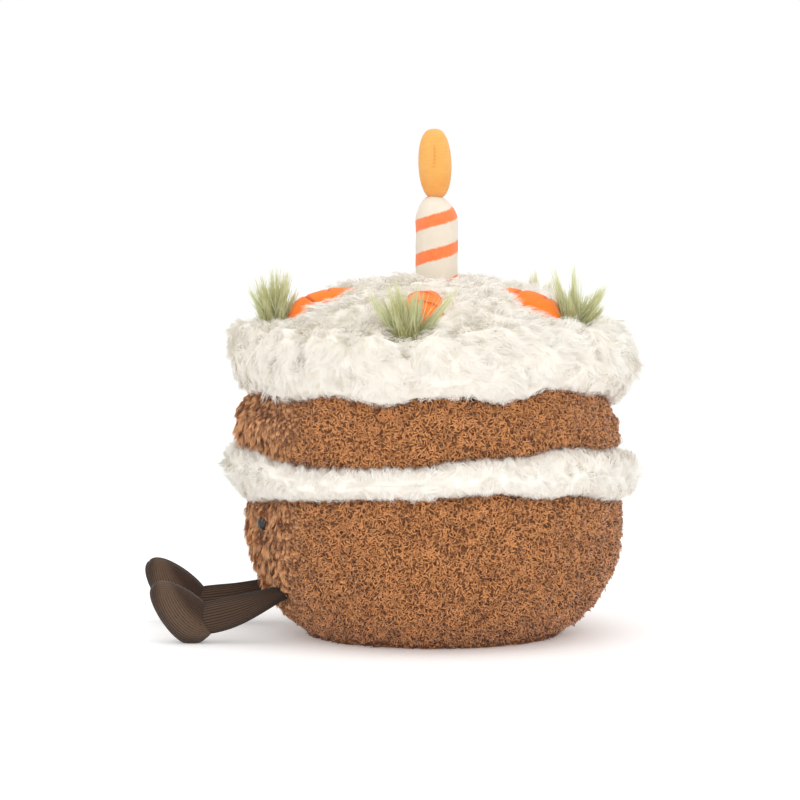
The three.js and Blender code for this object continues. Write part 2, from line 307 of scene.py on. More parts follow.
def mixed(tree, factor, a, b):
    made = node(tree, "ShaderNodeMix", {"Factor": factor, "A": a, "B": b}, data_type="RGBA")
    return out(made, "Result")


def ranged(tree, value, low, high):
    """0 where the value is at `low` and 1 where it is at `high`, with a soft start and end."""
    made = node(
        tree,
        "ShaderNodeMapRange",
        {"Value": value, "From Min": low, "From Max": high},
        interpolation_type="SMOOTHSTEP",
    )
    return out(made, "Result")


def attribute(tree, name):
    return out(node(tree, "ShaderNodeAttribute", attribute_name=name), "Fac")


def object_noise(tree, size, detail=2.0):
    """A soft noise whose patches are about `size` metres across."""
    place = out(node(tree, "ShaderNodeTexCoord"), "Object")
    made = node(tree, "ShaderNodeTexNoise", {"Vector": place, "Scale": 1 / size, "Detail": detail})
    return out(made, "Fac")


def paint(red, green, blue):
    """A colour from its values on a paint chart, 0 to 255, as the linear colour that shaders use."""
    chart = [value / 255 for value in (red, green, blue)]
    linear = [c / 12.92 if c <= 0.04045 else ((c + 0.055) / 1.055) ** 2.4 for c in chart]
    return (*linear, 1.0)


print("mid grey on the paint chart is", round(paint(128, 128, 128)[0], 3), "in linear light")


# %% Shared effects
def new_group(name, sockets):
    """A shader node group with named sockets: [(name, "INPUT" or "OUTPUT", type, default)]."""
    group = bpy.data.node_groups.new(name, "ShaderNodeTree")
    for label, side, kind, default in sockets:
        made = group.interface.new_socket(label, in_out=side, socket_type=f"NodeSocket{kind}")
        if default is not None:
            made.default_value = default
    return group, group.nodes.new("NodeGroupInput"), group.nodes.new("NodeGroupOutput")


def make_pile_colour():
    group, given, result = new_group(
        "pile_colour",
        [
            ("Tip", "INPUT", "Color", (1, 1, 1, 1)),
            ("Root", "INPUT", "Color", (0.5, 0.5, 0.5, 1)),
            ("Tint", "INPUT", "Color", (1, 1, 1, 1)),
            ("Along", "INPUT", "Float", 0.0),
            ("Tone", "INPUT", "Float", 0.5),
            ("Patch Size", "INPUT", "Float", 0.02),
            ("Color", "OUTPUT", "Color", None),
        ],
    )
    shade = ranged(group, out(given, "Along"), 0.0, 0.7)
    fibre = mixed(group, shade, out(given, "Root"), out(given, "Tip"))
    place = out(node(group, "ShaderNodeTexCoord"), "Object")
    scale = maths(group, "DIVIDE", 1.0, out(given, "Patch Size"))
    patches = out(node(group, "ShaderNodeTexNoise", {"Vector": place, "Scale": scale}), "Fac")
    uneven = maths(group, "MULTIPLY", out(given, "Tone"), ranged(group, patches, 0.2, 0.75))
    group.links.new(mixed(group, uneven, fibre, out(given, "Tint")), result.inputs["Color"])
    return group


def make_nap():
    group, given, result = new_group(
        "nap",
        [
            ("Fibre Size", "INPUT", "Float", 0.0004),
            ("Fuzz", "OUTPUT", "Float", None),
        ],
    )
    place = out(node(group, "ShaderNodeTexCoord"), "Object")
    scale = maths(group, "DIVIDE", 1.0, out(given, "Fibre Size"))
    fuzz = node(group, "ShaderNodeTexNoise", {"Vector": place, "Scale": scale, "Detail": 3.0, "Roughness": 0.7})
    group.links.new(out(fuzz, "Fac"), result.inputs["Fuzz"])
    return group


PILE_COLOUR = make_pile_colour()
NAP = make_nap()
print("shared effects:", PILE_COLOUR.name, "and", NAP.name)


# %% A plain cloth to start each finish from
def cloth(name, roughness, sheen):
    material = bpy.data.materials.new(name)
    material.use_nodes = True
    surface = material.node_tree.nodes["Principled BSDF"]
    surface.inputs["Roughness"].default_value = roughness
    surface.inputs["Sheen Weight"].default_value = sheen
    surface.inputs["Sheen Roughness"].default_value = 0.5
    surface.inputs["Specular IOR Level"].default_value = 0.2
    return material, material.node_tree, surface


def pile_cloth(name, tip, root, tint, patch, sheen=0.15):
    """The finish of a pile, from the colours of its tips and roots and the tint of some of its locks."""
    material, tree, surface = cloth(name, 0.85, sheen)
    colour = node(tree, "ShaderNodeGroup", node_tree=PILE_COLOUR)
    for socket, value in (("Tip", tip), ("Root", root), ("Tint", tint), ("Patch Size", patch)):
        colour.inputs[socket].default_value = value
    tree.links.new(attribute(tree, "along"), colour.inputs["Along"])
    tree.links.new(attribute(tree, "tone"), colour.inputs["Tone"])
    tree.links.new(colour.outputs["Color"], surface.inputs["Base Color"])
    return material


def nap_bump(tree, surface, fibre, distance, extra=None):
    """Gives a cloth the relief of its nap, with `extra` height on top."""
    nap = node(tree, "ShaderNodeGroup", node_tree=NAP)
    nap.inputs["Fibre Size"].default_value = fibre
    height = nap.outputs["Fuzz"]
    if extra is not None:
        height = maths(tree, "ADD", height, extra)
    bump = node(tree, "ShaderNodeBump", {"Height": height, "Distance": distance, "Strength": 0.8})
    tree.links.new(out(bump, "Normal"), surface.inputs["Normal"])


print("helpers for finishes:", [made.__name__ for made in (cloth, pile_cloth, nap_bump)])


# %% Pile finishes
WHITE_FUR = pile_cloth(
    "white_fur", tip=paint(249, 246, 239), root=paint(244, 240, 232), tint=paint(244, 240, 231), patch=14 * MM
)
BROWN_BOUCLE = pile_cloth(
    "boucle", tip=paint(219, 151, 95), root=paint(125, 80, 46), tint=paint(164, 107, 65), patch=7 * MM, sheen=0.3
)
BROWN_COMBED = pile_cloth(
    "boucle_combed", tip=paint(230, 172, 122), root=paint(158, 110, 74), tint=paint(196, 142, 100), patch=8 * MM
)
GREEN_FUR = pile_cloth(
    "green_fur", tip=paint(213, 215, 172), root=paint(110, 114, 52), tint=paint(186, 181, 126), patch=6 * MM
)
print("pile finishes:", [m.name for m in (WHITE_FUR, BROWN_BOUCLE, BROWN_COMBED, GREEN_FUR)])


# %% Ground of the curly pile
def make_boucle_ground():
    material, tree, surface = cloth("boucle_ground", 0.9, 0.1)
    place = out(node(tree, "ShaderNodeTexCoord"), "Object")
    settings = {"Vector": place, "Scale": 1 / (2.4 * MM), "Detail": 1.0, "Distortion": 1.6}
    curls = node(tree, "ShaderNodeTexNoise", settings)
    off = maths(tree, "ABSOLUTE", maths(tree, "SUBTRACT", out(curls, "Fac"), 0.5))
    yarn = ranged(tree, off, 0.11, 0.0)
    tree.links.new(mixed(tree, yarn, paint(118, 73, 45), paint(156, 101, 65)), surface.inputs["Base Color"])
    nap_bump(tree, surface, 0.5 * MM, 0.9 * MM, extra=yarn)
    return material


BOUCLE_GROUND = make_boucle_ground()
print("ground of the curly pile:", BOUCLE_GROUND.name)


# %% [markdown]
# ## How pile grows
#
# Long pile isn't a forest of single hairs. Its fibres gather into small pointed locks that lie over one
# another like thatch, and curly pile gathers into short twisted nubs. So the thing to scatter is a lock, not a
# hair: a few dozen faces, repeated some thousands of times.
#
# Particles would be the old way, but they are lost when the model leaves Blender. Geometry Nodes can scatter
# the locks over a shell and then make them real mesh. Each shell carries two values to steer them: `comb`, the
# way that the locks point, and `growth`, how long they are there.

# %% Locks and nubs
def add_fibre(bm, spine, across, width, steps):
    """A flat fibre along `spine(share)`: a strip of so many steps, `width` wide at its foot and pointed."""
    along_of = bm.verts.layers.float["along"]
    made = bmesh.ops.create_grid(bm, x_segments=1, y_segments=steps, size=0.5)
    for vert in made["verts"]:
        share = vert.co.y + 0.5
        vert[along_of] = share
        vert.co = spine(share) + across * (vert.co.x * width * (1 - share**2))


def lock(draw, fibres, length, spread, width, bow):
    """A lock that grows up +Z and bows towards +X: its fibres part at the foot and meet at the tip."""
    bm = bmesh.new()
    bm.verts.layers.float.new("along")
    for _ in range(fibres):
        turn = draw.uniform(0, math.tau)
        foot = Vector((math.cos(turn), math.sin(turn), 0)) * spread * math.sqrt(draw.random())
        tip = Vector((draw.gauss(0, 0.3), draw.gauss(0, 0.5), 0)) * spread
        tip.z = length * draw.uniform(0.7, 1.05)
        bend = Vector((4 * bow + 0.8 * foot.x, 1.4 * foot.y, 0))
        twist = draw.gauss(0, 0.2)
        across = Vector((math.sin(twist), math.cos(twist), 0))
        add_fibre(bm, lambda t: foot.lerp(tip, t) + bend * (t * (1 - t)), across, width, 2)
    bmesh.ops.remove_doubles(bm, verts=bm.verts, dist=1e-7)
    return mesh_of(bm)


def nub(draw, fibres, spread, width):
    """Curly yarn ends that rise along +Z and curl over, each its own way. Painted shade darkens their feet."""
    bm = bmesh.new()
    along_of = bm.verts.layers.float.new("along")
    for _ in range(fibres):
        turn = draw.uniform(0, math.tau)
        over = Vector((math.cos(turn), math.sin(turn), 0))
        across = Vector((-over.y, over.x, 0))
        curl, radius = draw.uniform(2.3, 3.8), draw.uniform(0.9, 1.6) * MM
        foot = Vector((draw.gauss(0, 0.6), draw.gauss(0, 0.6), -0.3)) * spread - over * radius
        lean = across * draw.uniform(-1.3, 1.3) * MM

        def spine(t):
            rise = Vector((0, 0, 1.15 * radius * math.sin(curl * t)))
            return foot + over * (radius * (1 - math.cos(curl * t))) + rise + lean * t**2

        add_fibre(bm, spine, across, width * draw.uniform(0.8, 1.3), 3)
    # painted shade: `along` becomes the height over the ground, so the pile colour darkens each curl near the
    # ground
    for vert in bm.verts:
        vert[along_of] = max(0.0, min(1.0, vert.co.z / (1.5 * MM)))
    bmesh.ops.remove_doubles(bm, verts=bm.verts, dist=1e-7)
    return mesh_of(bm)


def lock_box(name, meshes):
    """A collection of alternative locks, out of sight, for Geometry Nodes to choose from."""
    box = bpy.data.collections.new(name)
    for i, mesh in enumerate(meshes):
        box.objects.link(bpy.data.objects.new(f"{name}_{i}", mesh))
    return box


KINDS = 6
draw = random.Random(11)
WHITE_LOCKS = lock_box(
    "white_locks",
    [lock(draw, fibres=14, length=7.0 * MM, spread=2.0 * MM, width=0.22 * MM, bow=0.5 * MM) for _ in range(KINDS)],
)
BROWN_NUBS = lock_box("brown_nubs", [nub(draw, fibres=7, spread=1.3 * MM, width=0.42 * MM) for _ in range(KINDS)])
BROWN_LOCKS = lock_box(
    "brown_locks",
    [lock(draw, fibres=10, length=4.8 * MM, spread=0.9 * MM, width=0.36 * MM, bow=0.5 * MM) for _ in range(KINDS)],
)


# %% Combing a shell
def comb(shell, direction, growth):
    """Writes onto a shell which way its pile points and how long it grows at each vertex."""
    mesh = shell.data
    for name, kind in (("comb", "FLOAT_VECTOR"), ("growth", "FLOAT")):
        if name not in mesh.attributes:
            mesh.attributes.new(name, kind, "POINT")
    ways = [direction(v.co, v.normal).normalized() for v in mesh.vertices]
    lengths = [growth(v.co, v.normal) for v in mesh.vertices]
    mesh.attributes["comb"].data.foreach_set("vector", [x for way in ways for x in way])
    mesh.attributes["growth"].data.foreach_set("value", lengths)


print("comb writes the attributes comb and growth")

# %% The nodes that scatter locks
SHORTEST = 0.05  # no lock grows where the growth is below this share of its full length
TRIES = 3.0  # points that are tried for each square of the spacing, before those too close are dropped


def pile_nodes(locks, spacing, seed, stray, spin):
    """A node tree that covers a shell with locks.

    `stray` is how far they lean off their comb's way, and `spin` how far they turn about their own length.
    """
    tree = bpy.data.node_groups.new("pile", "GeometryNodeTree")
    for side in ("INPUT", "OUTPUT"):
        tree.interface.new_socket("Geometry", in_out=side, socket_type="NodeSocketGeometry")
    given = tree.nodes.new("NodeGroupInput")
    result = tree.nodes.new("NodeGroupOutput")

    def named(name, kind):
        made = node(tree, "GeometryNodeInputNamedAttribute", {"Name": name}, data_type=kind)
        return out(made, "Attribute")

    def drawn(kind, low, high, offset):
        given_range = {"Min": low, "Max": high, "Seed": seed + offset}
        made = node(tree, "FunctionNodeRandomValue", given_range, data_type=kind)
        return out(made, "Value")

    growth = named("growth", "FLOAT")
    grows = node(tree, "ShaderNodeMath", {"Value": growth}, operation="GREATER_THAN")
    grows.inputs[1].default_value = SHORTEST
    points = node(
        tree,
        "GeometryNodeDistributePointsOnFaces",
        {
            "Mesh": out(given, "Geometry"),
            "Selection": grows.outputs[0],
            "Distance Min": spacing,
            "Density Max": TRIES / spacing**2,
            "Seed": seed,
        },
        distribute_method="POISSON",
    )
    way = node(tree, "ShaderNodeVectorMath", operation="ADD")
    tree.links.new(named("comb", "FLOAT_VECTOR"), way.inputs[0])
    tree.links.new(drawn("FLOAT_VECTOR", (-stray,) * 3, (stray,) * 3, 1), way.inputs[1])
    upright = node(tree, "FunctionNodeAlignRotationToVector", {"Vector": way.outputs[0]}, axis="Z")
    facing = node(
        tree,
        "FunctionNodeAlignRotationToVector",
        {"Rotation": out(upright, "Rotation"), "Vector": out(points, "Normal")},
        axis="X",
        pivot_axis="Z",
    )
    turn = node(tree, "ShaderNodeCombineXYZ", {"Z": drawn("FLOAT", -spin, spin, 2)})
    turned_rotation = node(
        tree,
        "FunctionNodeRotateRotation",
        {"Rotation": out(facing, "Rotation"), "Rotate By": turn.outputs[0]},
        rotation_space="LOCAL",
    )
    length = node(tree, "ShaderNodeMath", operation="MULTIPLY")
    tree.links.new(growth, length.inputs[0])
    tree.links.new(drawn("FLOAT", 0.8, 1.2, 3), length.inputs[1])
    width = drawn("FLOAT", 0.85, 1.25, 4)
    size = node(tree, "ShaderNodeCombineXYZ", {"X": length.outputs[0], "Y": width, "Z": length.outputs[0]})
    box = node(tree, "GeometryNodeCollectionInfo", {"Collection": locks, "Separate Children": True})
    grown = node(
        tree,
        "GeometryNodeInstanceOnPoints",
        {
            "Points": out(points, "Points"),
            "Instance": out(box, "Instances"),
            "Pick Instance": True,
            "Instance Index": drawn("INT", 0, KINDS - 1, 5),
            "Rotation": out(turned_rotation, "Rotation"),
            "Scale": size.outputs[0],
        },
    )

    def kept(geometry, name, kind, value):
        made = node(
            tree,
            "GeometryNodeStoreNamedAttribute",
            data_type=kind,
            domain="INSTANCE",
            inputs={"Geometry": geometry, "Name": name, "Value": value},
        )
        return out(made, "Geometry")

    toned = kept(out(grown, "Instances"), "tone", "FLOAT", drawn("FLOAT", 0.0, 1.0, 6))
    aimed = kept(toned, "outward", "FLOAT_VECTOR", out(points, "Normal"))
    real = node(tree, "GeometryNodeRealizeInstances", {"Geometry": aimed})
    tree.links.new(out(real, "Geometry"), result.inputs["Geometry"])
    return tree


print("a spacing of 2 mm tries", round(TRIES / 2**2, 2), "points for each square millimetre")


# %% Keeping the pile as mesh
def read(data, name, width):
    """One property of many elements as an array with `width` numbers to a row."""
    values = np.empty(len(data) * width, dtype=np.float32)
    data.foreach_get(name, values)
    return values.reshape(-1, width)


def soften(mesh, softness):
    """Shades each lock partly as the shell that it grows on, from 0, not at all, to 1, wholly."""
    outward = read(mesh.attributes["outward"].data, "vector", 3)
    starts = read(mesh.polygons, "loop_start", 1)[:, 0].astype(int)
    first = read(mesh.loops, "vertex_index", 1)[starts, 0].astype(int)
    backward = (read(mesh.polygons, "normal", 3) * outward[first]).sum(axis=1) < 0
    bm = bmesh.new()
    bm.from_mesh(mesh)
    bmesh.ops.reverse_faces(bm, faces=[face for face, wrong in zip(bm.faces, backward) if wrong])
    bm.to_mesh(mesh)
    bm.free()
    own = read(mesh.vertex_normals, "vector", 3)
    own *= np.where((own * outward).sum(axis=1) < 0, -1.0, 1.0)[:, None]
    mixed_normals = outward * softness + own * (1 - softness)
    mixed_normals /= np.linalg.norm(mixed_normals, axis=1)[:, None]
    mesh.polygons.foreach_set("use_smooth", [True] * len(mesh.polygons))
    mesh.normals_split_custom_set_from_vertices(mixed_normals.tolist())
    mesh.attributes.remove(mesh.attributes["outward"])


def grow(name, shell, seed, locks, spacing, stray, spin, softness, material, slot):
    """Grows pile on a combed shell, and keeps it as a mesh of its own."""
    modifier = shell.modifiers.new("pile", "NODES")
    modifier.node_group = pile_nodes(locks, spacing, seed, stray, spin)
    mesh = bpy.data.meshes.new_from_object(shell.evaluated_get(bpy.context.evaluated_depsgraph_get()))
    shell.modifiers.remove(modifier)
    soften(mesh, softness)
    piece_of(name, mesh, material, slot)


FUR = dict(
    locks=WHITE_LOCKS, spacing=1.85 * MM, stray=0.3, spin=0.5, softness=0.8, material=WHITE_FUR, slot="white_fur"
)
CURLS = dict(
    locks=BROWN_NUBS, spacing=1.5 * MM, stray=0.3, spin=math.pi, softness=0.4, material=BROWN_BOUCLE, slot="boucle"
)
COMBED_OUT = dict(CURLS, locks=BROWN_LOCKS, spacing=1.6 * MM, softness=0.3, material=BROWN_COMBED)
print("kinds of pile: fur, curls and combed-out curls")

# %% [markdown]
# ## The stack of layers
#
# The four layers are one sewn bag, drawn in at each seam, and no seam is level: the stuffing pushes them up
# and down a little all the way round. Those heights are already in the frame's solids, so they are read off
# there instead of being worked out again.
#
# Each layer could be a copy of its solid, but the solids have sockets cut into them for the carrots and legs.
# A fresh shell spun from the same outline has none, and pile can grow right up to what is sewn on.

# %% The seams, read from the frame
SEAM_RADIUS = 74
SECTORS = 72


def edge_heights(name, choose):
    """The height of a layer's edge in each sector round the toy, in millimetres."""
    points = np.array([v.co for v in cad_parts[name].data.vertices]) / MM
    points = points[np.hypot(points[:, 0], points[:, 1]) > 0.8 * SEAM_RADIUS]
    sector = np.round(np.arctan2(points[:, 1], points[:, 0]) / math.tau * SECTORS).astype(int) % SECTORS
    return np.array([choose(points[sector == i, 2]) for i in range(SECTORS)])


SEAMS = [
    edge_heights("sponge_lower", np.max),
    edge_heights("sponge_upper", np.min),
    edge_heights("sponge_upper", np.max),
]
BAND_FOOT, BAND_TOP, ICING_FOOT = (float(seam.mean()) for seam in SEAMS)
HEM = ICING_FOOT + 1.8  # the seam under the icing, which its pile hangs over
BOWL_HEIGHT = 49
RIM_TOP = 135.5
RIM_FOOT = RIM_TOP - 15  # below this height a flat part of a shell is a seam, and above it the icing's top
LEVEL_HEIGHTS = [BOWL_HEIGHT / 2, BAND_FOOT, BAND_TOP, ICING_FOOT, RIM_TOP]
print("seams at", [round(h, 1) for h in (BAND_FOOT, BAND_TOP, ICING_FOOT)], "mm")

# %% Settling a layer onto the seams
# Where a seam arches up or hangs down: the seam, the direction, its spread and the lift in millimetres.
ARCHES = [(2, 180, 20, 4), (2, 0, 16, -5), (2, 313, 10, 3), (2, 280, 7, 2.5), (2, 335, 6, -1)]
ARCHES += [(2, 55, 10, 2.5), (2, 105, 8, 2), (2, 140, 9, -1.5), (2, 215, 6, -1.5), (2, 265, 6, 1.5)]
ARCHES += [(1, 312, 9, 1), (1, 245, 12, -1.2), (0, 220, 22, 2.6), (0, 285, 9, 1.5), (0, 318, 9, 2.5)]
directions = np.arange(SECTORS) * 360 / SECTORS
for seam, direction, spread, lift in ARCHES:
    SEAMS[seam] += lift * np.exp(-((((directions - direction + 180) % 360 - 180) / spread) ** 2))
sponge_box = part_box("sponge_upper")
SAG = (sponge_box[0].x + sponge_box[1].x) / 2 / MM  # how far the upper sponge leans towards the face
SAG_HEIGHT = (BAND_TOP + ICING_FOOT) / 2
SAG_SPREAD = 14
OUTLINE_STEP = 1.5
TURN_STEPS = 360
print("arches in the seams:", len(ARCHES), "and the upper sponge leans", round(-SAG, 1), "mm to the front")


def settle(point):
    """Moves a point of the straight stack, in millimetres, into its place in the uneven one."""
    turn = math.atan2(point.y, point.x) / math.tau * SECTORS
    lifts = [np.interp(turn, range(SECTORS), seam, period=SECTORS) - seam.mean() for seam in SEAMS]
    lift = np.interp(point.z, LEVEL_HEIGHTS, [0, *lifts, 0])
    point.z += lift * smooth(math.hypot(point.x, point.y), 0, SEAM_RADIUS)
    point.x += SAG * math.exp(-(((point.z - SAG_HEIGHT) / SAG_SPREAD) ** 2))


def layer(outline, inset, lumps):
    """A layer's shell: its outline spun, settled on the seams and lumped, with room for its pile round it.

    `lumps` holds the size and the height of each scale of lump, in millimetres. `inset` is the room for the
    pile at a vertex.
    """
    bm = turned(finely(outline, OUTLINE_STEP), TURN_STEPS)
    for vert in bm.verts:
        point = vert.co / MM
        settle(point)
        vert.co = point * MM

    def move(vert):
        lump = sum(height * noise.noise(vert.co / (size * MM)) for size, height in lumps)
        at_seam = 1 - vert.normal.xy.length if vert.co.z < RIM_FOOT * MM else 0
        return (lump - inset(vert)) * (1 - at_seam) * MM

    push_out(bm, move)
    for vert in bm.verts:
        if vert.co.z < 3 * MM:
            vert.co.z = 0.3 * MM
    return bm


# %% [markdown]
# ### The comb
#
# Which way a pile lies is what makes it look like fur and not like grass. On the toy the white locks lean
# outwards and down, as they hang, and on top of that they swirl where hands have ruffled them. The swirl is a
# smooth noise with patches of about a centimetre, so that neighbouring locks lie together.
#
# Pile also stops where something is sewn on. The distance to those pieces is measured on the frame's solids.

# %% Distances to what is sewn on
def tree_of(name):
    return BVHTree.FromPolygons(
        [v.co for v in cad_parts[name].data.vertices],
        [tuple(p.vertices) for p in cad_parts[name].data.polygons],
    )


def room(point, trees):
    """The distance from a point to the nearest of some solids, below 0 inside one of them."""
    distances = []
    for tree in trees:
        place, normal, _, distance = tree.find_nearest(point)
        distances.append(math.copysign(distance, (point - place).dot(normal)))
    return min(distances)


CARROTS = 5
FIRST_CARROT = 189
carrot_turns = [FIRST_CARROT + 360 / CARROTS * i for i in range(CARROTS)]
ON_THE_ICING = [tree_of(f"carrot_{i + 1}") for i in range(CARROTS)] + [tree_of("candle")]
LEGS = [tree_of(n) for n in ("leg_left", "leg_right")]
EYES = [tree_of(n) for n in ("eye_left", "eye_right")]
TUFT_DROPS = [1.5, 2.5, 0, 0, 0]  # how far down and out some of the tufts have slipped
TUFT_FEET = [polar(66.3 + drop, turn, 128.6 - drop) for turn, drop in zip(carrot_turns, TUFT_DROPS)]
print("carrots at", [turn % 360 for turn in carrot_turns], "degrees")


# %% Directions of lie
def swirl(point, size, seed):
    """A smooth random direction that changes over about `size` millimetres."""
    return Vector(noise.noise_vector(point / (size * MM) + Vector((seed, 0, 0))))


def along_surface(way, normal):
    return way - normal * way.dot(normal)


def inside_seam(point, normal):
    """Whether a point lies on a layer's flat end, which the next layer hides."""
    return abs(normal.z) > 0.8 and math.hypot(point.x, point.y) < (SEAM_RADIUS + 1.5) * MM


def hang(stand, droop, ruffle, size, seed):
    """A comb that stands `stand` proud of the shell, droops by `droop` and is ruffled by `ruffle`."""

    def direction(point, normal):
        flow = Vector((0, 0, -droop)) + swirl(point, size, seed) * ruffle
        return normal * stand + along_surface(flow, normal)

    return direction


def lie(stand, sway, sizes, seed, fan=0.0):
    """A comb that stands `stand` proud and lies downhill, turned aside by up to `sway` radians in patches.

    Where the shell faces up, `fan` turns it by so much more, so at pi the pile there lies uphill. Between the
    two it stands up, along an uneven line, so that no straight parting shows.
    """

    def direction(point, normal):
        downhill = along_surface(Vector((0, 0, -1)), normal).normalized()
        turn = sum(noise.noise(point / (size * MM) + Vector((seed, 0, 0))) for size in sizes) * sway
        uneven = 0.5 * noise.noise(point / (6 * MM))
        over = smooth(normal.z + uneven, -0.5, 0.6)
        turn += fan * over
        proud = stand + 0.15 * fan * math.sin(math.pi * over)
        return normal * proud + downhill * math.cos(turn) + normal.cross(downhill) * math.sin(turn)

    return direction


print("combs:", [made.__name__ for made in (hang, lie)])

# %% [markdown]
# ### The sponge layers
#
# The sponge is curly pile: short yarn ends, each twisted on itself, packed so closely that the cloth below
# hardly shows. A bump would give the mottled colour but a flat outline, so the curls are real. Each nub is
# a few narrow ribbons that rise and bend over, with painted shade that makes them darkest at their feet. The
# ground between them is painted in the same browns, so that a gap looks like one more shadow among the curls.
#
# Over the face the curls have been combed out into short straight locks that hang down. Both kinds grow on
# the same shell, and each gets shorter where the other takes over.

# %% Lower sponge
SPONGE_PILE = 0.8  # how far the curly pile stands over its ground
SPONGE_LUMPS = [(9, 1.2), (2.8, 1.3)]
BOWL_PILE_TOP = 30  # the pile of the lower sponge is two pieces, parted at this height, so that neither is huge


def sponge_growth(point, normal):
    """How long the pile of either sponge grows: not under a seam or the toy, nor at a leg or an eye."""
    hidden = inside_seam(point, normal) and point.z > BOWL_HEIGHT * MM
    if hidden or normal.z < -0.93:
        return 0.0
    clear = smooth(room(point, LEGS), -0.5 * MM, 2.5 * MM) * smooth(room(point, EYES), -0.8 * MM, 0.0)
    return clear * (0.3 + 0.7 * smooth(point.z, 0, 5 * MM))


def over_face(point):
    """1 where the pile faces the front of the toy, whose curls have been combed out, and 0 at its sides."""
    return smooth(-point.x, 46 * MM, 74 * MM)


def sponge_pile(vert):
    """Room for the pile, which is deeper where it is combed out."""
    return SPONGE_PILE + over_face(vert.co)


lower_outline = [
    Vector((0, 0)),
    *arc(42, BOWL_HEIGHT, 80.8 - 42, BOWL_HEIGHT, -90, 0, 16),
    *arc(SEAM_RADIUS + 1, BAND_FOOT - 3.5, 79.8 - SEAM_RADIUS, 3.5, 0, 90, 4),
    Vector((0, BAND_FOOT)),
]
sponge_lower = piece_of(
    "sponge_lower_cloth",
    mesh_of(layer(lower_outline, sponge_pile, SPONGE_LUMPS)),
    BOUCLE_GROUND,
    "boucle",
    ["sponge_lower"],
)
SPONGE_COMB = hang(stand=1.0, droop=0.2, ruffle=0.6, size=5, seed=3)
FACE_COMB = hang(stand=0.25, droop=1.0, ruffle=0.5, size=5, seed=8)


def in_the_bowl(point):
    return point.z < BOWL_PILE_TOP * MM


def curls(point, normal):
    """Growth of the curls, which all but stop over the face."""
    return sponge_growth(point, normal) * (1 - 0.99 * over_face(point))


def combed(point, normal):
    """Growth of the combed-out locks: shorter towards a seam, an eye and the table."""
    at_edge = smooth(abs(normal.z), 0.3, 0.8) * 0.6
    by_eye = 1 - smooth(room(point, EYES), 0.5 * MM, 4.5 * MM)
    low_down = 1 - smooth(point.z, 0, 6 * MM)
    return sponge_growth(point, normal) * over_face(point) * (1 - at_edge) * (1 - 0.75 * by_eye) * (1 - low_down)


comb(sponge_lower, FACE_COMB, combed)
grow("sponge_face_pile", sponge_lower, seed=27, **COMBED_OUT)
comb(sponge_lower, SPONGE_COMB, lambda p, n: 0.0 if in_the_bowl(p) else curls(p, n))
grow("sponge_wall_pile", sponge_lower, seed=21, **CURLS)
comb(sponge_lower, SPONGE_COMB, lambda p, n: curls(p, n) if in_the_bowl(p) else 0.0)
grow("sponge_bowl_pile", sponge_lower, seed=26, **CURLS)

# %% Upper sponge
upper_outline = [
    Vector((0, BAND_TOP)),
    *arc(SEAM_RADIUS, BAND_TOP + 4, 82 - SEAM_RADIUS, 4, -90, 0, 4),
    Vector((82, (BAND_TOP + ICING_FOOT) / 2 - 3)),
    Vector((82, (BAND_TOP + HEM) / 2 + 3)),
    *arc(SEAM_RADIUS, HEM - 4, 78.5 - SEAM_RADIUS, 4, 0, 90, 4),
    Vector((0, HEM)),
]
sponge_upper = piece_of(
    "sponge_upper_cloth",
    mesh_of(layer(upper_outline, sponge_pile, SPONGE_LUMPS)),
    BOUCLE_GROUND,
    "boucle",
    ["sponge_upper"],
)
comb(sponge_upper, FACE_COMB, combed)
grow("sponge_brow_pile", sponge_upper, seed=28, **COMBED_OUT)
comb(sponge_upper, SPONGE_COMB, curls)
grow("sponge_upper_pile", sponge_upper, seed=22, **CURLS)

# %% [markdown]
# ### The cream band and the icing
#
# Both are the same long white fur. The band is a plump ring whose locks are combed up over the sponge above
# and down over the one below, and they part along an uneven line, where they stand up. On the icing the pile
# is pressed short beside each carrot, and it stops at the candle and where the green tufts grow.

# %% Cream band
WHITE_PILE = 2.2  # height of the white pile, which is shorter than its locks because they lie over
BROW_LIFT = 4.5  # how far the band's edge is pushed up over the face
BAND_REACH = 15  # how far the band bulges beyond its seams
FACE_SQUARE = 0.65  # below 1, it squares the bulge over the face

band_outline = [
    Vector((0, BAND_FOOT)),
    *arc(SEAM_RADIUS, (BAND_FOOT + BAND_TOP) / 2, BAND_REACH, (BAND_TOP - BAND_FOOT) / 2, -90, 90, 12),
    Vector((0, BAND_TOP)),
]


def band_form():
    bm = layer(band_outline, inset=lambda vert: WHITE_PILE, lumps=[(13, 2.6), (5.5, 1.3)])
    for vert in bm.verts:
        at_rim = smooth(vert.co.xy.length, 75 * MM, 85 * MM)
        vert.co.z += BROW_LIFT * MM * at_rim * smooth(-vert.co.x, 60 * MM, 80 * MM)
        share = max(0.0, min(1.0, (vert.co.xy.length / MM - SEAM_RADIUS) / BAND_REACH))
        wider = BAND_REACH * (share**FACE_SQUARE - share) * smooth(-vert.co.x, 50 * MM, 72 * MM)
        vert.co += vert.co.xy.normalized().to_3d() * wider * MM
    return mesh_of(bm)


cream_band = piece_of(
    "cream_band_cloth",
    band_form(),
    WHITE_FUR,
    "white_fur",
    ["cream_band"],
)


def band_growth(point, normal):
    """Growth of the band's fur, which is pressed short between the sponges, and more so below."""
    if inside_seam(point, normal):
        return 0.0
    return 0.9 - 0.3 * (1 - over_face(point)) * smooth(normal.z, 0.3, 0.9) - 0.5 * smooth(-normal.z, 0.2, 0.9)


comb(cream_band, lie(stand=0.4, sway=2.2, sizes=(11, 5), seed=5, fan=math.pi), band_growth)
grow("cream_band_pile", cream_band, seed=23, **FUR)


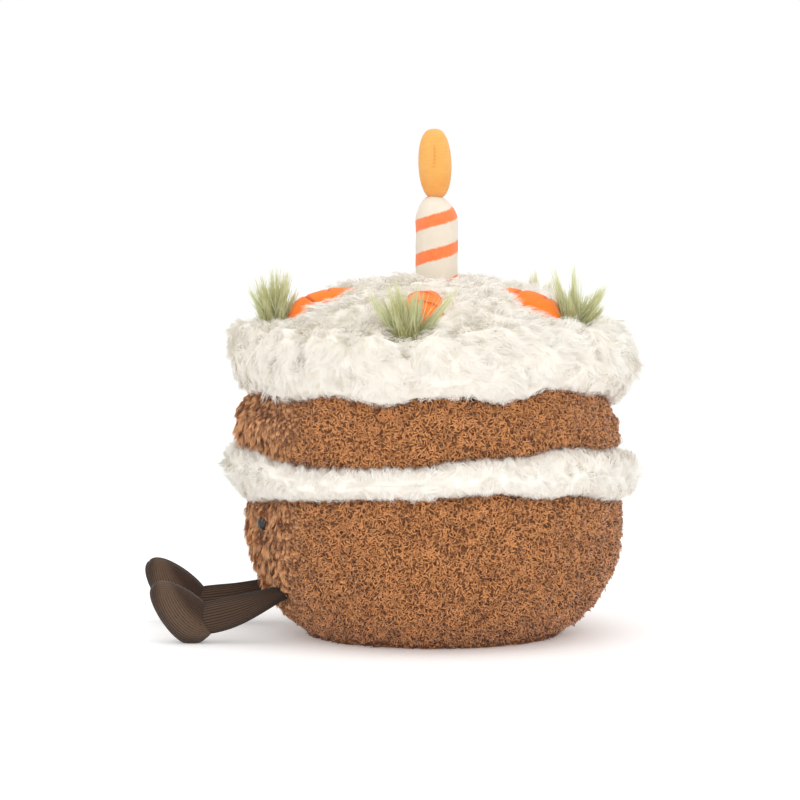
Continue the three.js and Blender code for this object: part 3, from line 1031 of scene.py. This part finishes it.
# %% Icing
def icing_growth(point, normal):
    """Growth of the icing's fur: none under what is sewn on, and short beside it and where it turns under."""
    if point.z < RIM_FOOT * MM and inside_seam(point, normal):
        return 0.0
    space = room(point, ON_THE_ICING)
    if space < -1 * MM:
        return 0.0
    from_tufts = min(math.hypot(point.x - foot.x, point.y - foot.y) for foot in TUFT_FEET)
    turned_under = 1 - smooth(normal.z, -0.8, 0.0)
    pressed = 0.6 + 0.4 * smooth(space, 0, 5 * MM)
    return pressed * (1 - 0.6 * turned_under) * smooth(from_tufts, 5.0 * MM, 9.0 * MM)


icing_points = [
    Vector(p)
    for p in (
        (SEAM_RADIUS, HEM),
        (83, HEM + 1.5),
        (88.7, 117),
        (85.3, RIM_TOP - 6),
        (77, RIM_TOP + 1),
        (67, RIM_TOP + 2.8),
        (50, 147.8),
        (26, 154),
        (0, 156),
    )
]
ICING_STEPS = 40
icing_outline = [Vector((0, HEM))] + [curve(icing_points, i / ICING_STEPS) for i in range(ICING_STEPS + 1)]
CORNER_LIFT = 3.2  # how far the rim is plumped up over the face, and down at the back
ICING_SHIFT, FACE_INSET = 0.6, 0.8  # how far the icing sits towards the back, and more so over the face
TROUGH = 2.3  # depth to which the icing is pressed down round each carrot and the candle
TUFT_DIMPLE = 1.3  # how far it is pressed in outside a tuft, for each millimetre that the tuft has slipped


def icing_pile(vert):
    """Room for the fur, which stands a little deeper on top."""
    return WHITE_PILE + 0.4 + 0.7 * smooth(vert.normal.z, 0.3, 0.8)


def icing_form():
    bm = layer(icing_outline, inset=icing_pile, lumps=[(15, 3.2), (6.5, 1.3)])
    for vert in bm.verts:
        corner = smooth(vert.co.xy.length, 74 * MM, 86 * MM) * smooth(vert.co.z, 112 * MM, 126 * MM)
        vert.co.z -= CORNER_LIFT * corner * vert.co.x / 80 * (1.4 if vert.co.x < 0 else 1)
        vert.co.x += MM * (ICING_SHIFT + FACE_INSET * smooth(-vert.co.x, 40 * MM, 80 * MM))
        if vert.co.z > (RIM_TOP - 10) * MM:
            vert.co.z -= TROUGH * MM * (1 - smooth(room(vert.co, ON_THE_ICING) / MM, -1.5, 7.5))
            for turn, drop in zip(carrot_turns, TUFT_DROPS):
                beside = (vert.co - polar(74, turn, 0)).xy.length / MM
                vert.co.z -= TUFT_DIMPLE * drop * MM * (1 - smooth(beside, 5, 13))
    return mesh_of(bm)


def on_the_rim(point):
    return math.hypot(point.x, point.y) > 73 * MM


icing = piece_of("icing_cloth", icing_form(), WHITE_FUR, "white_fur", ["icing"])
ICING_COMB = lie(stand=0.36, sway=2.2, sizes=(13, 5), seed=6, fan=0.6)
comb(icing, ICING_COMB, lambda p, n: icing_growth(p, n) if on_the_rim(p) else 0.0)
grow("icing_rim_pile", icing, seed=24, **FUR)
comb(icing, ICING_COMB, lambda p, n: 0.0 if on_the_rim(p) else icing_growth(p, n))
grow("icing_dome_pile", icing, seed=25, **FUR)

# %% [markdown]
# ## The candle
#
# The candle is a small stuffed tube of short-haired cloth, and its stripe is one orange ribbon of colour wound
# round it. The stripe could be a picture wrapped round the tube. It is simpler as a sum: height divided by the
# pitch, less the turn round the axis, goes up by one from each winding to the next, so the part after the
# point says how far a spot is from the stripe.
#
# The flame is a flat cushion of ribbed felt, pushed down into the candle's top and caught with a few stitches.

# %% Stripe of the candle
CANDLE_AXIS = 1.5
STRIPE_PITCH = 14.6
STRIPE_START = 160.2  # height of a winding where it passes the side that faces the front of the toy
STRIPE_SHARE = 0.36  # of the pitch that is orange


def make_candle_cloth():
    material, tree, surface = cloth("candle_cloth", 0.85, 0.25)
    place = out(node(tree, "ShaderNodeTexCoord"), "Object")
    centred = node(tree, "ShaderNodeMapping", {"Vector": place, "Location": (-CANDLE_AXIS * MM, 0, 0)})
    x, y, z = node(tree, "ShaderNodeSeparateXYZ", {"Vector": out(centred, "Vector")}).outputs
    turn = maths(tree, "DIVIDE", maths(tree, "ARCTAN2", y, x), math.tau)
    climb = maths(tree, "DIVIDE", maths(tree, "SUBTRACT", z, STRIPE_START * MM), STRIPE_PITCH * MM)
    ragged = maths(tree, "MULTIPLY", maths(tree, "SUBTRACT", object_noise(tree, 1.2 * MM), 0.5), 0.09)
    winding = maths(tree, "ADD", maths(tree, "SUBTRACT", climb, turn), ragged)
    phase = maths(tree, "FRACT", maths(tree, "ADD", winding, 100.0))
    off = maths(tree, "ABSOLUTE", maths(tree, "SUBTRACT", phase, 0.5))
    stripe = ranged(tree, off, STRIPE_SHARE / 2 + 0.035, STRIPE_SHARE / 2 - 0.035)
    wool = mixed(tree, object_noise(tree, 5 * MM), paint(224, 212, 193), paint(234, 225, 209))
    orange = mixed(tree, object_noise(tree, 2 * MM), paint(246, 116, 58), paint(251, 142, 86))
    tree.links.new(mixed(tree, stripe, wool, orange), surface.inputs["Base Color"])
    nap_bump(tree, surface, 0.45 * MM, 0.35 * MM)
    return material


def candle_form():
    outline = [Vector((0, 146)), Vector((8.4, 146)), Vector((9.0, 152)), Vector((9.1, 164))]
    outline += [*arc(0, 177.5, 9.0, 11, 0, 90, 14)]
    bm = turned(outline, 64)
    bmesh.ops.subdivide_edges(bm, edges=[e for e in bm.edges if e.calc_length() > 3 * MM], cuts=5)
    for vert in bm.verts:
        lean = smooth(vert.co.z / MM, 176, 188)
        vert.co.z -= 1.2 * MM * lean * vert.co.x / (9 * MM)
        vert.co += Vector((CANDLE_AXIS * MM, 0, 0))
    push_out(bm, lambda v: 0.3 * MM * noise.noise(v.co / (7 * MM)))
    return mesh_of(bm)


piece_of("candle_cloth", candle_form(), make_candle_cloth(), "candle_cloth", ["candle"])

# %% Flame
FLAME_FOOT, FLAME_TOP = 187, 217
RIB = 0.62  # height of one knitted rib


def make_flame_felt():
    material, tree, surface = cloth("flame_felt", 0.85, 0.3)
    along = attribute(tree, "along")
    low = mixed(tree, ranged(tree, along, 0.05, 0.55), paint(237, 151, 61), paint(240, 173, 83))
    warm = mixed(tree, ranged(tree, along, 0.0, 0.12), paint(222, 128, 60), low)
    cloudy = mixed(tree, maths(tree, "MULTIPLY", object_noise(tree, 4 * MM), 0.5), warm, paint(247, 197, 120))
    stitched = mixed(tree, attribute(tree, "stitch"), cloudy, paint(226, 132, 58))
    tree.links.new(stitched, surface.inputs["Base Color"])
    place = out(node(tree, "ShaderNodeTexCoord"), "Object")
    ribs = node(
        tree,
        "ShaderNodeTexWave",
        {"Vector": place, "Scale": 1 / (RIB * MM) * 0.314, "Distortion": 0.6, "Detail": 1.0},
        bands_direction="Z",
    )
    nap_bump(tree, surface, 0.3 * MM, 0.3 * MM, extra=maths(tree, "MULTIPLY", out(ribs, "Fac"), 0.7))
    return material


def flame_form():
    foot, tip = Vector((1.3, 0, FLAME_FOOT)) * MM, Vector((0.2, 0, FLAME_TOP)) * MM
    flat = Vector((1, 0, 0))
    bm = stuffed(lambda t: foot.lerp(tip, t), flat, sides=64, rings=90, blunt=0.72, girth=lambda t: (5.2, 7.1))
    stitch_of = bm.verts.layers.float.new("stitch")
    for vert in bm.verts:
        height = vert.co.z / MM
        off = abs(vert.co.x / MM - 0.4)
        dots = 0.5 + 0.5 * math.cos(height * math.tau / 1.5)
        in_row = smooth(height, 200, 202) * (1 - smooth(height, 209, 211))
        vert[stitch_of] = (1 - smooth(off, 0.15, 0.55)) * in_row * dots
    push_out(bm, lambda v: -0.35 * MM * v[stitch_of])
    return mesh_of(bm)


piece_of("flame_felt", flame_form(), make_flame_felt(), "flame_felt", ["flame"])

# %% [markdown]
# ## The carrots and their green tufts
#
# Each carrot is a stuffed cone of smooth orange cloth that lies with its tip towards the candle. What makes it
# a carrot is a pair of short creases across it, pulled in with a stitch. A crease is cut into the form itself,
# because its shadow and the bulge of the stuffing on both sides of it are what shows. Its cloth is also
# coloured a deeper orange there, as painted shade.
#
# The green is long pile, gathered at its foot, that parts into pointed wisps. Each wisp is a bundle of fibres
# which share one tip. A cone for each wisp would be simpler, but light passes between fibres and not through
# a cone.

# %% Carrots
CARROT_SWAY = [2, 8, -3, -5, 4]  # degrees by which each tip turns aside
CARROT_TIPS = [31, 27, 23, 28, 28]  # how far each tip stays from the axis
CREASES = [(0.36, 1.0), (0.62, -0.7)]  # share of the way along, and the side that it is on, from -1 to 1


def make_carrot_cloth():
    material, tree, surface = cloth("carrot_cloth", 0.8, 0.15)
    tone = mixed(tree, object_noise(tree, 7 * MM), paint(249, 112, 20), paint(253, 140, 52))
    # painted shade: each crease is coloured a deeper orange, where its shadow falls in the cloth
    shaded_creases = mixed(tree, attribute(tree, "crease"), tone, paint(196, 70, 18))
    tree.links.new(shaded_creases, surface.inputs["Base Color"])
    nap_bump(tree, surface, 0.35 * MM, 0.18 * MM)
    return material


def carrot_form(i):
    turn = carrot_turns[i]
    crown = polar(62, turn, 132)
    middle = polar(46, turn + CARROT_SWAY[i] / 3, 142)
    tip = polar(CARROT_TIPS[i], turn + CARROT_SWAY[i], 147.4)

    def girth(t):
        return 14 * (1 - 0.6 * t), 11.5 * (1 - 0.6 * t)

    bm = stuffed(bend_through(crown, middle, tip), Vector((0, 0, 1)), sides=72, rings=72, blunt=0.9, girth=girth)
    crease_of = bm.verts.layers.float.new("crease")
    turn_of, along_of = bm.verts.layers.float["turn"], bm.verts.layers.float["along"]
    for vert in bm.verts:
        for share, side in CREASES:
            over = math.cos(vert[turn_of] - math.pi / 2 + side * 0.9)
            bend = 0.02 * math.sin(3 * vert[turn_of])
            near = 1 - smooth(abs(vert[along_of] - share - bend), 0.0, 0.03)
            vert[crease_of] = max(vert[crease_of], near * smooth(over, 0.25, 0.7))
    push_out(bm, lambda v: MM * (0.35 * noise.noise(v.co / (6 * MM)) - 0.8 * v[crease_of]))
    return mesh_of(bm)


CARROT_CLOTH = make_carrot_cloth()
for i in range(CARROTS):
    piece_of(f"carrot_cloth_{i + 1}", carrot_form(i), CARROT_CLOTH, "carrot_cloth", [f"carrot_{i + 1}"])

# %% Tufts
# Where the wisps of each tuft end, in millimetres sideways and up from the tuft's foot, as seen from the side.
WISPS = [
    [(-12, 21), (-9.5, 25), (-6.5, 26), (-2.5, 28), (0, 30), (2.2, 25), (4, 28), (5.6, 28), (9, 20), (-5, 22)],
    [(-17, 22), (-11.5, 20), (-8.5, 24), (-6, 27), (-3.7, 24), (-1.6, 22), (2, 20), (4, 25), (6.5, 20)]
    + [(20.5, 23)],
    [(-8.7, 30), (-7, 25), (-2.7, 20), (0.3, 31), (2.5, 19), (12.3, 22.5), (11, 21), (13.6, 23.5), (13.5, 14)]
    + [(6, 19)],
    [(-2, 25.5), (-4.3, 22), (0, 18.5), (7, 21), (-10, 18), (3, 20), (10, 16), (-7, 15), (5, 17), (12, 13)],
    [(-12, 17), (-8, 19), (-4, 20), (-1, 21), (2, 20), (5, 19), (8, 17), (-6, 15), (0, 18), (11, 14)],
]
FIBRES_IN_A_TUFT = 1500
FIBRE_WIDTH = 0.34
TUFT_HALF_WIDTH = 6.5
TUFT_HALF_DEPTH = 5
ROOT_HEIGHT = 3


def tuft_form(i):
    draw = random.Random(40 + i)
    bm = bmesh.new()
    bm.verts.layers.float.new("along")
    tone_of = bm.verts.layers.float.new("tone")
    foot = TUFT_FEET[i]
    for _ in range(FIBRES_IN_A_TUFT):
        wisp = draw.randrange(len(WISPS[i]))
        sideways, up = WISPS[i][wisp]
        up += TUFT_DROPS[i]
        gathered = draw.random() ** 0.55
        sideways += draw.gauss(0, 3.4) * (1 - gathered)
        depth = 7 * math.sin(2.4 * wisp) + draw.gauss(0, 2.5)
        reach = 0.42 + 0.66 * draw.random() ** 1.4
        turn, off = draw.uniform(0, math.tau), math.sqrt(draw.random())
        root_x, root_y = math.cos(turn) * off * TUFT_HALF_WIDTH, math.sin(turn) * off * TUFT_HALF_DEPTH
        root = foot + Vector((root_x, root_y, ROOT_HEIGHT)) * MM
        base_x = max(-1, min(1, sideways / 17)) * TUFT_HALF_WIDTH * 0.7
        base = foot + Vector((base_x, 0.3 * depth, ROOT_HEIGHT)) * MM
        tip = base.lerp(foot + Vector((sideways, depth, 1.04 * up)) * MM, reach)
        stray = Vector([draw.gauss(0, 0.35) for _ in range(3)]) * MM
        across = Vector((draw.uniform(0.4, 1), draw.uniform(-0.9, 0.9), 0)).normalized()
        before = len(bm.verts)

        def spine(t):
            return base.lerp(tip, t) + (root - base) * (1 - t) ** 1.9 + stray * t

        add_fibre(bm, spine, across, FIBRE_WIDTH * MM, 4)
        bm.verts.ensure_lookup_table()
        for vert in bm.verts[before:]:
            vert[tone_of] = wisp % 3 / 2
    bmesh.ops.remove_doubles(bm, verts=bm.verts, dist=1e-7)
    return mesh_of(bm)


for i in range(CARROTS):
    piece_of(f"leaves_pile_{i + 1}", tuft_form(i), GREEN_FUR, "green_fur", [f"leaves_{i + 1}"])

# %% [markdown]
# ## The legs
#
# The legs are stuffed tubes of brown needlecord with the feet turned up. Cord is ribbed: rounded ridges, about
# a millimetre apart, with deep narrow grooves. A bump would do from afar, but the ridges show on the outline
# of a foot, so they are raised in the mesh. On the leg they run along it. On each side of a foot they follow
# the sole, because that panel of cloth was cut along its ribs, and they run out where the seam cuts them off.

# %% Corduroy
WALE = 1.2  # from ridge to ridge
WALE_HEIGHT = 0.36


def make_corduroy():
    material, tree, surface = cloth("corduroy", 0.9, 0.2)
    ridge = attribute(tree, "ridge")
    wear_and_highlight = attribute(tree, "wear_and_highlight")
    brown = mixed(tree, object_noise(tree, 6 * MM), paint(64, 46, 35), paint(77, 57, 44))
    # painted shade: the grooves between ridges are coloured nearly black-brown, and the ridges keep the plain
    # brown
    shaded_grooves = mixed(tree, ranged(tree, ridge, 0.3, 1.0), paint(30, 21, 16), brown)
    # wear and painted highlight: ridge tops are painted lighter where this mask is high
    rubbed_and_highlit = mixed(tree, maths(tree, "MULTIPLY", wear_and_highlight, ridge), shaded_grooves, paint(118, 95, 77))
    tree.links.new(rubbed_and_highlit, surface.inputs["Base Color"])
    nap_bump(tree, surface, 0.3 * MM, 0.15 * MM)
    return material


def raise_wales(bm, phase, wear_and_highlight, fade=lambda vert: 0.0):
    """Raises ridges where `phase(vert)`, counted in wales, is a half past a whole number.

    The third argument says how far the ridges are made bright, partly by wear and partly by painted highlight,
    and `fade` how far they run out.
    """
    ridge_of, wear_and_highlight_of = bm.verts.layers.float.new("ridge"), bm.verts.layers.float.new("wear_and_highlight")
    for vert in bm.verts:
        ridge = math.sqrt(abs(math.sin(math.pi * phase(vert))))
        vert[ridge_of] = ridge + fade(vert) * (0.7 - ridge)
        vert[wear_and_highlight_of] = wear_and_highlight(vert)
    push_out(bm, lambda v: WALE_HEIGHT * MM * (v[ridge_of] - 0.7))


# %% Legs
LEG_WALES = 34
SIDES = {"left": (-1, 0, 0), "right": (1, 5.4, 3.4)}  # which side, and how far out and down that foot lies


def leg_form(side, reach, drop):
    path_points = [
        polar(61, 180 - side * 27, 22.5 - drop),
        polar(71, 180 - side * 27, 21.5 - drop),
        Vector((-85 - reach / 2, side * 33, 13.2 - 0.7 * drop)) * MM,
        Vector((-108 - reach, side * 33, 8)) * MM,
    ]

    def girth(t):
        return 5.4 + 1.4 * t, 2.2 + 5.2 * smooth(t, 0.2, 0.85)

    path = partial(curve, path_points)
    bm = stuffed(path, Vector((0, 0, 1)), sides=LEG_WALES * 6, rings=36, blunt=0.4, girth=girth)
    turn_of, along_of = bm.verts.layers.float["turn"], bm.verts.layers.float["along"]
    # the ridges get lighter towards the foot, with wear and painted highlight
    raise_wales(bm, lambda v: v[turn_of] / math.tau * LEG_WALES, lambda v: 0.25 * smooth(v[along_of], 0.3, 0.7))
    return bm


def foot_form(side, reach):
    heel = Vector((-96.3 - reach, side * 33, 2)) * MM
    sole = Vector((-103.3 - reach, side * 33, 10.5)) * MM
    toe = Vector((-118.8 - reach, side * 33, 24.6 + 0.45 * reach)) * MM

    def girth(t):
        return 7.5, 10.8 - 2.4 * t

    bm = stuffed(bend_through(heel, sole, toe), Vector((1, 0, 0)), sides=200, rings=60, blunt=0.85, girth=girth)
    foot_of, turn_of = bm.verts.layers.float["from_foot"], bm.verts.layers.float["turn"]

    # a band round the foot, about 12 mm from the line along its bottom, with wear and painted highlight on its
    # ridges
    def wear_and_highlight(vert):
        return 0.55 * (1 - smooth(abs(vert[foot_of] - 12), 2, 8))

    def at_seam(vert, width):
        """1 on the seam that runs round the foot's outline, and 0 from `width` radians beside it."""
        return 1 - smooth(abs(abs(vert[turn_of]) - math.pi / 2), 0.0, width)

    raise_wales(bm, lambda v: v[foot_of] / WALE, wear_and_highlight, lambda v: at_seam(v, 0.3))
    push_out(bm, lambda v: -0.4 * MM * at_seam(v, 0.07))
    return bm


CORDUROY = make_corduroy()
for name, (side, reach, drop) in SIDES.items():
    bm = leg_form(side, reach, drop)
    bm.from_mesh(mesh_of(foot_form(side, reach)))
    for vert in bm.verts:
        vert.co.z = max(vert.co.z, 0.0)
    piece_of(f"leg_{name}_corduroy", mesh_of(bm), CORDUROY, "corduroy", [f"leg_{name}"])

# %% [markdown]
# ## The eyes
#
# Two glossy beads, sewn through the curly pile until they sit half sunk in it. They are the only hard and
# shiny thing on the toy.

# %% Bead eyes
EYE_RADIUS = 3.0


def make_bead():
    material, tree, surface = cloth("bead", 0.12, 0.0)
    surface.inputs["Specular IOR Level"].default_value = 0.5
    scuffed = mixed(tree, object_noise(tree, 1.5 * MM), paint(10, 9, 9), paint(26, 23, 22))
    tree.links.new(scuffed, surface.inputs["Base Color"])
    surface.inputs["Coat Weight"].default_value = 0.3
    surface.inputs["Coat Roughness"].default_value = 0.05
    return material


BEAD = make_bead()
for name, (side, _, _) in SIDES.items():
    bm = bmesh.new()
    bmesh.ops.create_uvsphere(bm, u_segments=48, v_segments=24, radius=EYE_RADIUS * MM)
    bmesh.ops.translate(bm, verts=bm.verts, vec=polar(78.0, 180 - side * 23, 50.8))
    piece_of(f"eye_{name}_bead", mesh_of(bm), BEAD, "bead", [f"eye_{name}"])

# %% [markdown]
# ## The floor
#
# The toy stands on a white table that is part of the studio and not of the toy. It glows a little, as a lit
# cove does, so that only the shadow under the toy shows on it.

# %% Floor
floor_bm = bmesh.new()
bmesh.ops.create_grid(floor_bm, x_segments=1, y_segments=1, size=6)
floor = bpy.data.objects.new("floor", mesh_of(floor_bm))
scene.collection.objects.link(floor)
floor_material = bpy.data.materials.new("floor")
floor_material.use_nodes = True
floor_surface = floor_material.node_tree.nodes["Principled BSDF"]
floor_surface.inputs["Base Color"].default_value = (0.9, 0.9, 0.9, 1)
floor_surface.inputs["Roughness"].default_value = 0.8
floor_surface.inputs["Emission Color"].default_value = (1, 1, 1, 1)
floor_surface.inputs["Emission Strength"].default_value = 0.18
floor.data.materials.append(floor_material)
print("floor: plain white")
